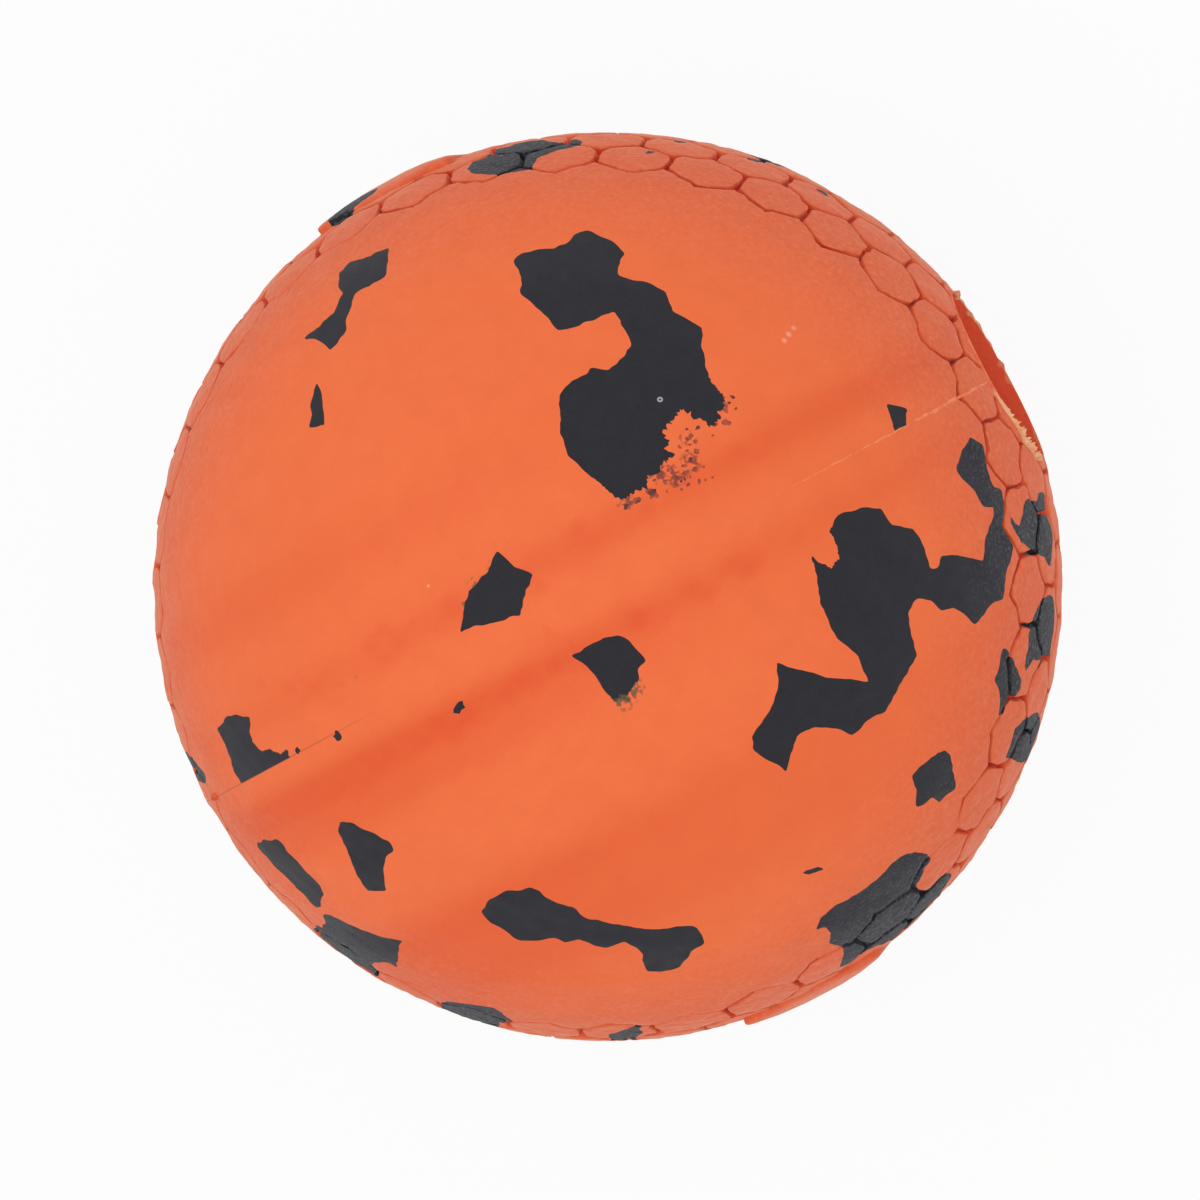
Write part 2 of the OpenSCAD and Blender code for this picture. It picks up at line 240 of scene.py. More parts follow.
def waves(seed, sizes):
    """Sine waves through space: pairs of a wave length and a height give four waves each."""
    random = np.random.default_rng(seed)
    length, height = np.repeat(np.array(sizes), 4, axis=0).T
    count = len(length)
    along = unit(random.normal(size=(count, 3))) * (2 * np.pi / length)[:, None]
    push = unit(random.normal(size=(count, 3))) * height[:, None]
    return along, push, random.uniform(0, 2 * np.pi, count)


def wobble(points, field):
    """Shift of each point: the sum of sine waves of its place, each in its own direction."""
    along, push, phase = field
    return np.sin(points @ along.T + phase) @ push


def cell_turn(k):
    """Turn of the middle of cell k: equal steps, crowded by a sine towards hole and far side."""
    return k * CELL_STEP - CROWDING * np.sin(2 * k * CELL_STEP)


def between(corners):
    """Points along the edges of closed outlines of corners, closer together at the corners.

    An edge is the straight line between its two corners, pushed out to the sphere.
    """
    share = 0.5 - 0.5 * np.cos(np.pi * np.arange(EDGE_PARTS) / EDGE_PARTS)
    start = corners[..., :, None, :]
    end = np.roll(corners, -1, axis=-2)[..., :, None, :]
    points = unit(start + (end - start) * share[:, None])
    return points.reshape(*corners.shape[:-2], -1, 3)


# Heights above the middle of the ball between which the relief sets in, and its reach along X
RELIEF_FROM = 16.0
RELIEF_TO = 24.0
RELIEF_REACH = 26.0
# Bell curves of the relief: place across the seam, half width and height
RELIEF = (
    (15.0, 5.0, 0.16), (4.0, 2.2, -0.14), (-0.5, 1.3, 0.10), (-3.8, 1.8, -0.20), (-13.0, 5.0, 0.18),
)


def cap_relief(points):
    """Moulding relief of the caps: bell curves across the seam that fade out along it.

    The fade is the exponential of a fourth power, and a smooth step ends it before the belt.
    """
    across = points[..., 1]
    fade = np.exp(-(points[..., 0] / RELIEF_REACH) ** 4)
    fade = fade * smooth(points[..., 2], RELIEF_FROM, RELIEF_TO)
    relief = np.zeros_like(across)
    for middle, width, height in RELIEF:
        relief = relief + height * np.exp(-((across - middle) / width) ** 2)
    return relief * fade


# Waves by which the moulded skin and the edges of the pads wander: wave length and height
MOULD_WAVES = waves(5, ((4.5, 0.05), (1.9, 0.035), (0.9, 0.015)))
PAD_WAVES = waves(17, ((2.8, 0.1), (1.4, 0.07), (0.8, 0.03)))
# Heights off the belt's middle between which the pads' waves set in
PAD_LEVEL = (20, 15)


def shaken(points):
    """Skin shaken by waves; on the belt finer ones push it about, but not in or out."""
    ways = unit(points)
    push = wobble(points, PAD_WAVES)
    push = push - ways * (push * ways).sum(-1, keepdims=True)
    near = np.clip((PAD_LEVEL[0] - np.abs(points[:, 2:])) / (PAD_LEVEL[0] - PAD_LEVEL[1]), 0, 1)
    return points + wobble(points, MOULD_WAVES) + push * near


# Turn at which the grooves are most open, and the angles and heights between which they close
OPEN_TURN = np.radians(18)
OPEN_REACH = (66.0, 80.0)
OPEN_LEVEL = (7.0, 12.0)
# Share of the depth that closes at most, and that stays open at least
MOST_CLOSED = 0.85
LEAST_OPEN = 0.08
# Sines that make the closing patchy: strength, number round the ball, and phase
PATCHES = ((0.1, 9, 1), (0.08, 23, 4))


def groove_fill(ways):
    """Share of the grooves' depth that is open: little along the upper cap on the far side.

    One less a smooth step of the turn away from the most open side times a smooth step of the
    height towards the upper cap, made patchy by two sines.
    """
    turn = np.arctan2(ways[..., 1], ways[..., 0])
    away = np.degrees(np.arccos(np.cos(turn - OPEN_TURN)))
    closed = smooth(away, *OPEN_REACH) * smooth(ways[..., 2] * BALL_R, *OPEN_LEVEL)
    patchy = sum(strength * np.sin(number * turn + phase) for strength, number, phase in PATCHES)
    return np.clip(1 - MOST_CLOSED * closed + patchy, LEAST_OPEN, 1)


# How far the upright grooves between neighbours in a row stay open on the far side
UPRIGHT_SHARE = 0.75
# Stretch of the upper cap's edge where one slanted groove of each cell stays open, and how far
DASH_TURN = np.radians(279)
DASH_REACH = np.radians(23)
DASH_SHARE = 1.0


def belt():
    """Padded cells of the belt: rings drawn in from each cell's hexagon to its middle.

    A ring is the hexagon scaled towards the cell's middle, at the height that the groove
    has there. Its corners are rounded by dividing by the power mean of the distances from
    the middle in units of the distance to each edge. Upright edges keep more of their depth,
    and so does one slanted edge of the cells on the lower side.
    """
    row, k = np.meshgrid(np.arange(1, ROWS + 1), np.arange(CELLS), indexing="ij")
    row, k = row.ravel(), k.ravel()
    lean = np.pi / 2 + (row - (ROWS + 1) / 2) * ROW_STEP
    k = k + 0.5 * (row % 2 == 0)
    tip, shoulder = (ROW_STEP + TIP_STEP) / 2, (ROW_STEP - TIP_STEP) / 2
    down = np.array([tip, shoulder, -shoulder, -tip, -shoulder, shoulder])
    beside = np.array([0, 0.5, 0.5, 0, -0.5, -0.5])
    corners = direction(lean[:, None] + down, cell_turn(k[:, None] + beside))
    middle = direction(lean, cell_turn(k))[:, None]
    edge = between(corners)
    offset = edge - middle
    side = np.roll(corners, -1, axis=1) - corners
    outward = unit(np.cross(side, middle))
    reach = np.einsum("cej,cej->ce", outward, corners - middle)
    share = np.einsum("cpj,cej->cpe", offset, outward) / reach[:, None, :]
    rounding = (np.maximum(share, 0) ** CORNER_POWER).sum(-1) ** (-1 / CORNER_POWER)
    kept = np.zeros((len(k), 6, EDGE_PARTS))
    kept[:, [1, 4], 1:] = UPRIGHT_SHARE
    dashed = np.abs(cell_turn(k) - DASH_TURN) < DASH_REACH
    kept[dashed & (row == 1), 3, 1:] = DASH_SHARE
    kept = kept.reshape(len(k), -1)
    rings = []
    for inset, height in GROOVE_RINGS:
        blend = np.clip(inset / CORNER_INSET, 0, 1)
        size = (1 - inset / CELL_APOTHEM) * (1 - blend + blend * rounding)
        ways = unit(middle + offset * size[..., None])
        fill = groove_fill(ways)
        rings.append(ways * (BALL_R + height * (fill + (1 - fill) * kept))[..., None])
    rings.append(middle * (BALL_R + GROOVE_RINGS[-1, 1]))
    points = np.concatenate(rings, axis=1)
    around = 6 * EDGE_PARTS
    count = len(GROOVE_RINGS)
    quads = ring_quads(count, around)
    fan = ring_fan((count - 1) * around, around, count * around)
    step = (np.arange(len(points)) * points.shape[1])[:, None, None]
    faces = (quads + step).reshape(-1, 4).tolist() + (fan + step).reshape(-1, 3).tolist()
    return points.reshape(-1, 3), faces


def cap(side):
    """Smooth cap: rings from the zigzag of the belt's edge to the pole, in leans and turns.

    The first rings follow the zigzag at the groove's distances, and the others shrink from
    it to the pole while the zigzag fades out. The relief is added to the radius.
    """
    steps = np.arange(2 * CELLS)
    first = np.pi / 2 - (ROWS - 1) / 2 * ROW_STEP
    lean = first - ROW_STEP / 2 - np.where(steps % 2 == 0, 1, -1) * TIP_STEP / 2
    zigzag = between(direction(lean, cell_turn(steps / 2)))
    lean, turn = np.arccos(zigzag[:, 2]), np.arctan2(zigzag[:, 1], zigzag[:, 0])
    slope = TIP_STEP / (CELL_STEP / 2)
    inset = GROOVE_RINGS[:, :1] * np.sqrt(1 + slope ** 2) / BALL_R
    near = lean - inset
    share = np.linspace(0, 1, CAP_RINGS + 1)[1:-1, None]
    fade = np.clip(share / ZIGZAG_FADE, 0, 1)
    plain = (near[-1] * (1 - fade) + near[-1].mean() * fade) * (1 - share)
    height = np.concatenate([GROOVE_RINGS[:, 1], np.full(len(share), GROOVE_RINGS[-1, 1])])
    ways = direction(np.concatenate([near, plain]), turn)
    ways = np.concatenate([ways.reshape(-1, 3), [[0, 0, 1]]])
    kept = np.zeros((2 * CELLS, EDGE_PARTS))
    dashed = np.abs(cell_turn((steps + 1) / 2) - DASH_TURN) < DASH_REACH
    kept[dashed & (steps % 2 == 1) & (side > 0), 1:] = DASH_SHARE
    fill = groove_fill(ways * [1, 1, side])
    fill[:-1] += (1 - fill[:-1]) * np.tile(kept.ravel(), len(height))
    height_at = np.append(np.repeat(height, len(turn)), GROOVE_RINGS[-1, 1]) * fill
    points = ways * (BALL_R + height_at + cap_relief(ways * BALL_R))[:, None]
    points[:, 2] *= side
    count, around = len(height), len(turn)
    quads = ring_quads(count, around).tolist()
    return points, quads + ring_fan((count - 1) * around, around, count * around).tolist()


def plate(side):
    """Bare plate: a rounded rectangle on the ball, in rings from its crowned face to its root.

    A ring is the outline times a share, each point pushed out from the flat to its radius.
    """
    arc = np.linspace(0, np.pi / 2, PLATE_CORNER_PARTS)
    corner = np.stack([np.cos(arc), np.sin(arc)], -1) * PLATE_CORNER_R
    quarter = corner + [PLATE_L / 2 - PLATE_CORNER_R, PLATE_W / 2 - PLATE_CORNER_R]
    half = np.concatenate([quarter, quarter[::-1] * [-1, 1]])
    outline = np.concatenate([half, -half])
    top = BALL_R + PLATE_H
    levels = []
    for share, height in ((0, 0), *PLATE_RINGS, (0, PLATE_RINGS[-1][1])):
        flat = outline * share if share else np.zeros((1, 2))
        rise = np.sqrt(BALL_R ** 2 - (flat ** 2).sum(-1))
        levels.append(unit(np.stack([flat[:, 0], side * rise, flat[:, 1]], -1)) * (top + height))
    around, count = len(outline), len(PLATE_RINGS)
    faces = ring_quads(count, around) + 1
    last = 1 + (count - 1) * around
    fans = [*ring_fan(1, around, 0).tolist(), *ring_fan(last, around, last + around).tolist()]
    return np.concatenate(levels), faces.tolist() + fans


def revolved(profile, around):
    """Closed solid of a profile of (along X, radius) pairs turned round the X axis."""
    angle = np.arange(around) * 2 * np.pi / around
    along, radius = np.array(profile)[1:-1].T
    ring = np.stack([np.zeros(around), np.cos(angle), np.sin(angle)], -1)
    points = ring * radius[:, None, None]
    points[..., 0] = along[:, None]
    ends = np.array([[profile[0][0], 0, 0], [profile[-1][0], 0, 0]])
    count = len(along)
    faces = ring_quads(count, around).tolist()
    faces += ring_fan(0, around, count * around).tolist()
    faces += ring_fan((count - 1) * around, around, count * around + 1).tolist()
    return np.concatenate([points.reshape(-1, 3), ends]), faces


def sphere_profile(radius, parts):
    """Profile of a sphere, from one pole on the X axis to the other."""
    angle = np.linspace(0, np.pi, parts + 1)
    return np.stack([radius * np.cos(angle), radius * np.sin(angle)], -1).tolist()


def ball(name, radius, parts):
    """Sphere of a radius, as an object."""
    return seal(make_object(name, *revolved(sphere_profile(radius, parts), 2 * parts)))


def half_space(side):
    """Box on one side of the seam."""
    both = (-BOX_REACH, BOX_REACH)
    points = [(x, y, z) for x in both for y in (0, side * BOX_REACH) for z in both]
    faces = [(0, 1, 3, 2), (4, 6, 7, 5), (0, 4, 5, 1), (2, 3, 7, 6), (0, 2, 6, 4), (1, 5, 7, 3)]
    return np.array(points, float), faces


def bar(outline, axes):
    """Bar with a flat outline, carried along the third axis through the surface layer."""
    across = np.roll(outline, -1, axis=0)
    if (outline[:, 0] * across[:, 1] - across[:, 0] * outline[:, 1]).sum() < 0:
        outline = outline[::-1]
    flat = outline @ axes[:2]
    points = np.concatenate([flat + BAR_FROM * axes[2], flat + BAR_TO * axes[2]])
    count = len(outline)
    spot = np.arange(count)
    beside = np.roll(spot, -1)
    sides = np.stack([spot, beside, beside + count, spot + count], -1).tolist()
    return points, [*sides, spot[::-1].tolist(), (spot + count).tolist()]


def resampled(loop, step):
    """Closed loop of points at equal distances of about one step."""
    closed = np.concatenate([loop, loop[:1]])
    length = np.append(0, np.linalg.norm(np.diff(closed, axis=0), axis=1).cumsum())
    marks = np.linspace(0, length[-1], int(length[-1] / step) + 1)[:-1]
    return np.stack([np.interp(marks, length, closed[:, i]) for i in range(closed.shape[1])], -1)


def softened(loop):
    """Closed loop with its corners rounded: each point is averaged with its neighbours."""
    return sum(weight * np.roll(loop, shift, axis=0) for shift, weight in SOFTENING)


def floor_loop(node):
    """Loop round the floor of a flake's solid, and the three axes of its bar.

    The floor's triangles have all corners on the floor's sphere, and its rim is the edges
    that one such triangle uses. The side walls, which reach the floor, run along the axis
    that their normals have least of: the last singular vector.
    """
    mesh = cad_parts[node].data
    places = np.empty(3 * len(mesh.vertices), np.float32)
    mesh.vertices.foreach_get("co", places)
    corner = np.empty(len(mesh.loops), np.int32)
    mesh.loops.foreach_get("vertex_index", corner)
    points, number = np.unique(np.round(places.reshape(-1, 3) / MM, 3), axis=0, return_inverse=True)
    triangles = number.ravel()[corner].reshape(-1, 3)
    low = np.abs(np.linalg.norm(points, axis=1) - FLAKE_FLOOR_R) < FLOOR_NEAR
    count = low[triangles].sum(1)
    floor = triangles[count == 3]
    edges = {tuple(edge) for edge in floor[:, [[0, 1], [1, 2], [2, 0]]].reshape(-1, 2).tolist()}
    follow = {start: end for start, end in edges if (end, start) not in edges}
    walk = [min(follow)]
    while follow[walk[-1]] != walk[0]:
        walk.append(follow[walk[-1]])
    wall = points[triangles[(count > 0) & (count < 3)]]
    normals = np.cross(wall[:, 1] - wall[:, 0], wall[:, 2] - wall[:, 0])
    axis = np.linalg.svd(normals, full_matrices=False)[2][2]
    axis = axis * np.sign(axis @ points[walk].mean(0))
    first = unit(np.cross(axis, ASKEW))
    return points[walk], np.stack([first, np.cross(axis, first), axis])


FLAKE_WAVES = waves(11, ((3.2, 0.05), (1.5, 0.04), (0.8, 0.025)))

# Torn edges: flake, pixel in the middle of the stretch, its reach, and the height of its teeth
TORN = (
    ("flake_comma", (686, 456), 8.0, 0.45),
    ("flake_dragon", (827, 550), 2.4, 0.14),
    ("flake_corner", (272, 756), 3.5, 0.16),
    ("flake_tooth", (631, 697), 2.0, 0.16),
)
# Points from one coarse tooth to the next, and shares of coarse and fine teeth in the height
TEETH_STEP = 4
COARSE_TEETH = 0.8
FINE_TEETH = 0.5


def toothed(flat, height):
    """Outline with random teeth of a height at each point, coarse and fine, in and out of it."""
    ahead = np.roll(flat, -1, axis=0) - np.roll(flat, 1, axis=0)
    outward = unit(np.stack([ahead[:, 1], -ahead[:, 0]], -1))
    random = np.random.default_rng(7)
    spots = np.arange(len(flat))
    marks = spots[::TEETH_STEP]
    coarse = np.interp(spots, marks, random.uniform(-1, 1, len(marks)))
    fine = random.uniform(-FINE_TEETH, FINE_TEETH, len(flat))
    return flat + outward * (height * (COARSE_TEETH * coarse + fine))[:, None]


def flake_bar(node, side):
    """Bar of one flake: its outline softened, then shaken a little by waves through space.

    Where the outline runs along the seam it is pushed across, so that the seam cuts it. Torn
    stretches get teeth, at full height over the inner half of their reach.
    """
    loop, axes = floor_loop(node)
    crossing = np.abs(loop[:, 1]) < SEAM_NEAR
    loop[crossing, 1] = -side * SEAM_PAST
    flat = softened(resampled(loop @ axes[:2].T, OUTLINE_STEP))
    rise = np.sqrt(np.maximum(BALL_R ** 2 - (flat ** 2).sum(1), 0))
    points = np.column_stack([flat, rise]) @ axes
    flat = flat + wobble(points, FLAKE_WAVES) @ axes[:2].T
    for torn, spot, reach, height in TORN:
        if torn == node:
            far = np.linalg.norm(points - lifted(spot), axis=1)
            flat = toothed(flat, height * np.clip(2 - 2 * far / reach, 0, 1))
    return bar(flat, axes)


# Small crumbs of black rubber: pixel, half length and half width, and spin in degrees
CRUMBS = (
    ((286, 754), 0.5, 0.4, 20), ((298, 750), 0.3, 0.3, 0), ((337, 736), 0.45, 0.35, 30),
    ((458, 708), 0.6, 0.4, 30), ((815, 871), 0.9, 0.3, 150),
    ((679, 141), 0.6, 0.6, 0), ((754, 160), 0.8, 0.7, 0), ((823, 193), 0.6, 0.6, 0),
    ((650, 152), 0.5, 0.4, 0),
)
# Corners of a crumb, and the shares of its radius between which they lie
CRUMB_CORNERS = 11
CRUMB_REACH = (0.6, 1.3)
# A direction that no crumb faces
CRUMB_ASKEW = (0, 1, 0.2)


def crumb_bar(middle, along, across, spin, random):
    """Bar of a crumb: a many-cornered ellipse, each corner at a random share of its radius.

    The crumb reaches along and across its own axes by two half sizes, and is then spun.
    """
    first = unit(np.cross(CRUMB_ASKEW, middle))
    axes = np.stack([first, np.cross(middle, first), middle])
    angle = np.arange(CRUMB_CORNERS) * 2 * np.pi / CRUMB_CORNERS
    reach = random.uniform(*CRUMB_REACH, CRUMB_CORNERS)
    flat = np.stack([along * np.cos(angle), across * np.sin(angle)], -1) * reach[:, None]
    cosine, sine = np.cos(np.radians(spin)), np.sin(np.radians(spin))
    return bar(flat @ np.array([[cosine, sine], [-sine, cosine]]), axes)


def crumb_bars():
    """Bars of all crumbs in the table."""
    random = np.random.default_rng(23)
    return [crumb_bar(unit(lifted(pixel)), *sizes, random) for pixel, *sizes in CRUMBS]


# Thin smears beside the comma's torn edge: pixels of a path along them, and their number
SMEAR_PATH = (
    (730, 399), (722, 418), (688, 432), (689, 449), (693, 462), (701, 478), (677, 477), (664, 480),
    (650, 496), (626, 503),
)
SMEAR_COUNT = 46
# Spread about the path, least half width and mean of what a smear has over it, and length to width
SMEAR_SPREAD = 0.4
SMEAR_LEAST = 0.09
SMEAR_MORE = 0.08
SMEAR_LENGTH = 1.35
# Least distance between two smears, in units of their half widths together
SMEAR_APART = 1.8


def smear_bars():
    """Bars of the smears: random places about the path, each clear of those before it."""
    random = np.random.default_rng(41)
    path = np.array([lifted(pixel) for pixel in SMEAR_PATH])
    bars, kept = [], []
    while len(kept) < SMEAR_COUNT:
        mark = random.uniform(0, len(path) - 1)
        place = [np.interp(mark, np.arange(len(path)), path[:, i]) for i in range(3)]
        place = unit(place + random.normal(scale=SMEAR_SPREAD, size=3)) * BALL_R
        size = SMEAR_LEAST + random.exponential(SMEAR_MORE)
        if all(np.linalg.norm(place - other) > SMEAR_APART * (size + far) for other, far in kept):
            kept.append((place, size))
            spin = random.uniform(0, 180)
            bars.append(crumb_bar(unit(place), size, SMEAR_LENGTH * size, spin, random))
    return bars


# Parts round the hole's film, and the height of its low lip
FLASH_PARTS = 400
FLASH_LIP = 0.1
# Torn and lumpy stretches of the film: start, end and the run at both ends, in degrees
FLASH_TORN = (-84, -12, 20)
FLASH_LUMPY = (92, 185, 8)
# Heights of its coarse teeth, of the fine ones up or down, and of its bumps
FLASH_TEETH = (0.25, 0.6)
FLASH_FINE = 0.25
FLASH_BUMPS = (0.02, 0.28)
# Degrees from one coarse tooth, or one bump, to the next
TOOTH_TURN = 6
BUMP_TURN = 5
# Tab: middle and half width in degrees, and height
FLASH_TAB = (103, 6, 0.25)
# Section of the film: depth of its root, and distances outside the hole at its root and its edge
FLASH_ROOT = 1.0
FLASH_FOOT = (0.02, 0.2)
FLASH_EDGE = (0.05, 0.12)
# How far the film leans out for its height
FLASH_LEAN = 0.15


def stretch(place, start, end, run):
    """Share that rises from 0 at the start to 1 over a run, and falls to 0 again at the end."""
    return np.clip(np.minimum(place - start, end - place) / run, 0, 1)


def random_line(random, place, step, low, high):
    """Line round the hole through random heights that lie a step of degrees apart."""
    marks = np.arange(-180, 181, step)
    return np.interp(place, marks, random.uniform(low, high, len(marks)))


def hole_flash():
    """Torn film round the treat hole: a four-cornered section carried round the rim.

    Angles count round X from +Z towards +Y. The film stands along X by a height that is a
    line of random teeth below the seam, random bumps with one bell-shaped tab on the far side
    and a low lip elsewhere.
    """
    random = np.random.default_rng(3)
    angle = np.arange(FLASH_PARTS) * 2 * np.pi / FLASH_PARTS
    place = (np.degrees(angle) + 180) % 360 - 180
    coarse = random_line(random, place, TOOTH_TURN, *FLASH_TEETH)
    teeth = coarse + random.uniform(-FLASH_FINE, FLASH_FINE, FLASH_PARTS)
    bumps = random_line(random, place, BUMP_TURN, *FLASH_BUMPS)
    middle, width, rise = FLASH_TAB
    tab = rise * np.exp(-((place - middle) / width) ** 2)
    torn = stretch(place, *FLASH_TORN)
    lumpy = stretch(place, *FLASH_LUMPY)
    height = FLASH_LIP + torn * (teeth - FLASH_LIP) + lumpy * (bumps - FLASH_LIP) + tab
    root = np.full(FLASH_PARTS, RIM_X - FLASH_ROOT)
    top = RIM_X + height
    foot_in, foot_out = (HOLE_R + gap for gap in FLASH_FOOT)
    edge_in, edge_out = (HOLE_R + gap + FLASH_LEAN * height for gap in FLASH_EDGE)
    section = ((root, foot_in), (root, foot_out), (top, edge_out), (top, edge_in), (root, foot_in))
    loops = [np.stack([x, r * np.sin(angle), r * np.cos(angle)], -1) for x, r in section]
    return np.concatenate(loops), ring_quads(len(section), FLASH_PARTS).tolist()


# Flash on the seam: leans in degrees at its ends, half width and height
RIDGE = (24, 77.8, 0.14, 0.05)
NUB = (-68.5, -64.5, 0.25, 0.3)
# Sections along a stretch of it, points over one, and the depth of its foot
SEAM_PARTS = 160
SEAM_ARC = 7
SEAM_FOOT = 0.3
# Shares of its length over which it tapers at its start and end, and the least that is left
SEAM_TAPER = (0.7, 0.06)
SEAM_LEAST = 0.01
# Its roughness: random shares of its size along it, and the limits between which they lie
SEAM_BUMPS = 60
SEAM_ROUGH = (0.4, 1.3)


def seam_flash(start, end, width, height):
    """Ridge of flash along the seam between two leans: a half ellipse, tapered at both ends."""
    lean = np.radians(np.linspace(start, end, SEAM_PARTS))
    share = np.linspace(0, 1, SEAM_PARTS)
    taper = np.minimum(share / SEAM_TAPER[0], (1 - share) / SEAM_TAPER[1])
    taper = np.clip(taper, SEAM_LEAST, 1)
    ways = direction(lean, np.zeros(SEAM_PARTS))
    random = np.random.default_rng(8)
    marks = np.linspace(0, 1, SEAM_BUMPS)
    rough = np.interp(share, marks, random.uniform(*SEAM_ROUGH, SEAM_BUMPS))
    angle = np.linspace(0, np.pi, SEAM_ARC)
    aside = np.append(np.cos(angle), [-1, 1])
    rise = np.append(height * np.sin(angle), [-SEAM_FOOT, -SEAM_FOOT])
    line = ways * BALL_R
    ground = BALL_R + GROOVE_RINGS[-1, 1] + cap_relief(line)
    radius = ground[:, None] + rise * (taper * rough)[:, None]
    breadth = width * (taper * rough)[:, None] * aside
    points = ways[:, None] * radius[..., None] + breadth[..., None] * np.array([0, 1, 0])
    points = points + wobble(points, MOULD_WAVES)
    around = len(aside)
    points = np.concatenate([points.reshape(-1, 3), points[[0, -1]].mean(1)])
    last = SEAM_PARTS * around
    faces = ring_quads(SEAM_PARTS, around).tolist() + ring_fan(0, around, last).tolist()
    return points, faces + ring_fan(last - around, around, last + 1).tolist()


def linear(colour):
    """Linear red, green, blue and alpha of an sRGB hex colour."""
    parts = np.array([int(colour[i:i + 2], 16) for i in (1, 3, 5)]) / 255
    parts = np.where(parts <= 0.04045, parts / 12.92, ((parts + 0.055) / 1.055) ** 2.4)
    return (*parts.tolist(), 1.0)


def set_inputs(tree, node, inputs):
    """Gives a node's inputs values, hex colours, outputs, or nodes by their first output in use."""
    for name, value in inputs.items():
        if isinstance(value, bpy.types.Node):
            value = next(output for output in value.outputs if output.enabled)
        if isinstance(value, bpy.types.NodeSocket):
            tree.links.new(value, node.inputs[name])
        else:
            node.inputs[name].default_value = linear(value) if isinstance(value, str) else value


def add(tree, kind, inputs, **settings):
    """Adds a node with its inputs and settings.

    By number, a MapRange takes a value, the ends of its range and what they become, and a Mix
    of colours takes a share and, at 6 and 7, two colours.
    """
    node = tree.nodes.new("ShaderNode" + kind)
    for name, value in settings.items():
        setattr(node, name, value)
    set_inputs(tree, node, inputs)
    return node


def new_material(name):
    """Empty material with its node tree, surface shader and Object coordinates."""
    made = bpy.data.materials.new(name)
    made.use_nodes = True
    tree = made.node_tree
    shader = tree.nodes["Principled BSDF"]
    return made, tree, shader, add(tree, "TexCoord", {}).outputs["Object"]


def per(size):
    """Texture scale that gives features of a size in millimetres."""
    return 1 / (size * MM)


def off_axis(tree, place):
    """Distance of a place from the axis of the treat hole."""
    flat = add(tree, "VectorMath", {0: place, 1: (0, 1, 1)}, operation="MULTIPLY")
    return add(tree, "VectorMath", {0: flat}, operation="LENGTH")


# Strengths of noise between which a patch sets in, and the most that it covers
PATCH_FROM = 0.12
PATCH_TO = 0.35
PATCH_MOST = 0.85


def patch(tree, place, pixel, radius, noise):
    """Round patch about the place that a pixel shows, broken up by a noise."""
    far = add(tree, "VectorMath", {0: place, 1: lifted(pixel) * MM}, operation="DISTANCE")
    soft = add(tree, "MapRange", {0: far, 1: radius * MM, 2: 0.0})
    both = add(tree, "Math", {0: soft, 1: noise}, operation="MULTIPLY")
    return add(tree, "MapRange", {0: both, 1: PATCH_FROM, 2: PATCH_TO, 3: 0.0, 4: PATCH_MOST})


# Bands of deeper orange along the seam, own tint and painted relief shade: place across it, half
# width, and strength at both ends
RELIEF_SHADE_BANDS = (
    (-3.2, 1.5, 1.1, 0.4), (-6.0, 2.2, 0.65, 0.1), (4.0, 1.8, 0.35, 0.7),
    (-17.8, 2.2, 0.65, 0.2), (-22.5, 4.0, 0.75, 0.25), (12.0, 2.5, 0.4, 0.0),
)
RELIEF_SHADE_ENDS = (-16.0, 20.0)


def relief_shade_bands(tree, axes):
    """Depth of the orange, partly its own tint and partly painted shade of the relief: bell curves
    across the seam, strengths running straight along it.
    """
    depth = 0.0
    for middle, width, start, end in RELIEF_SHADE_BANDS:
        low, high = (middle - width) * MM, (middle + width) * MM
        inputs = {0: axes.outputs[1], 1: low, 2: high, 3: -1.0, 4: 1.0}
        aside = add(tree, "MapRange", inputs, clamp=False)
        square = add(tree, "Math", {0: aside, 1: aside}, operation="MULTIPLY")
        bell = add(tree, "Math", {0: np.exp(-1), 1: square}, operation="POWER")
        strength = add(tree, "MapRange", {
            0: axes.outputs[0], 1: RELIEF_SHADE_ENDS[0] * MM, 2: RELIEF_SHADE_ENDS[1] * MM, 3: start, 4: end})
        depth = add(tree, "Math", {0: bell, 1: strength, 2: depth}, operation="MULTIPLY_ADD")
    return depth


# Stains and specks: pixel, reach, colour, and whether grain breaks them up
STAINS = (
    ((633, 690), 1.5, "#564F35", True), ((624, 702), 1.1, "#4C452E", True),
    ((467, 605), 0.8, "#6E5A34", True), ((475, 585), 0.9, "#6E5A34", True),
    ((494, 565), 0.8, "#6E5A34", True), ((428, 586), 0.25, "#F6A880", False),
    ((784, 341), 0.4, "#F0A488", False), ((356, 677), 0.3, "#B4703C", False),
    ((788, 335), 0.45, "#F0A488", False), ((793, 329), 0.4, "#F0A488", False),
    ((722, 405), 0.9, "#7E3B2C", True), ((688, 438), 1.0, "#8A3E2A", True),
    ((690, 463), 1.2, "#7A382A", True), ((675, 475), 1.4, "#6E342A", True),
    ((659, 473), 1.2, "#6E342A", True), ((626, 500), 1.1, "#6E3A2C", True),
)

# Heights off the belt's middle between which the orange grows paler, and grainier
PALE_LEVEL = (24, 14)
GRAIN_LEVEL = (26, 13)
# Hairline of the seam: half widths at which it ends and is full, and places along X likewise
HAIR_WIDTH = (0.1, 0.03)
HAIR_ENDS = (-15, -21)
# Depths under the ball at which the grooves' red of painted shade and bounce light starts and is full,
# and the inside's painted glow likewise
GROOVE_SHADE_DEPTH = (0.1, 0.6)
INSIDE_DEPTH = (0.85, 0.9)
# Distances outside the hole's radius at which the bore's brighter colour, painted glow, starts and is
# full
BORE_GLOW_SKIN = (0.15, 0.05)


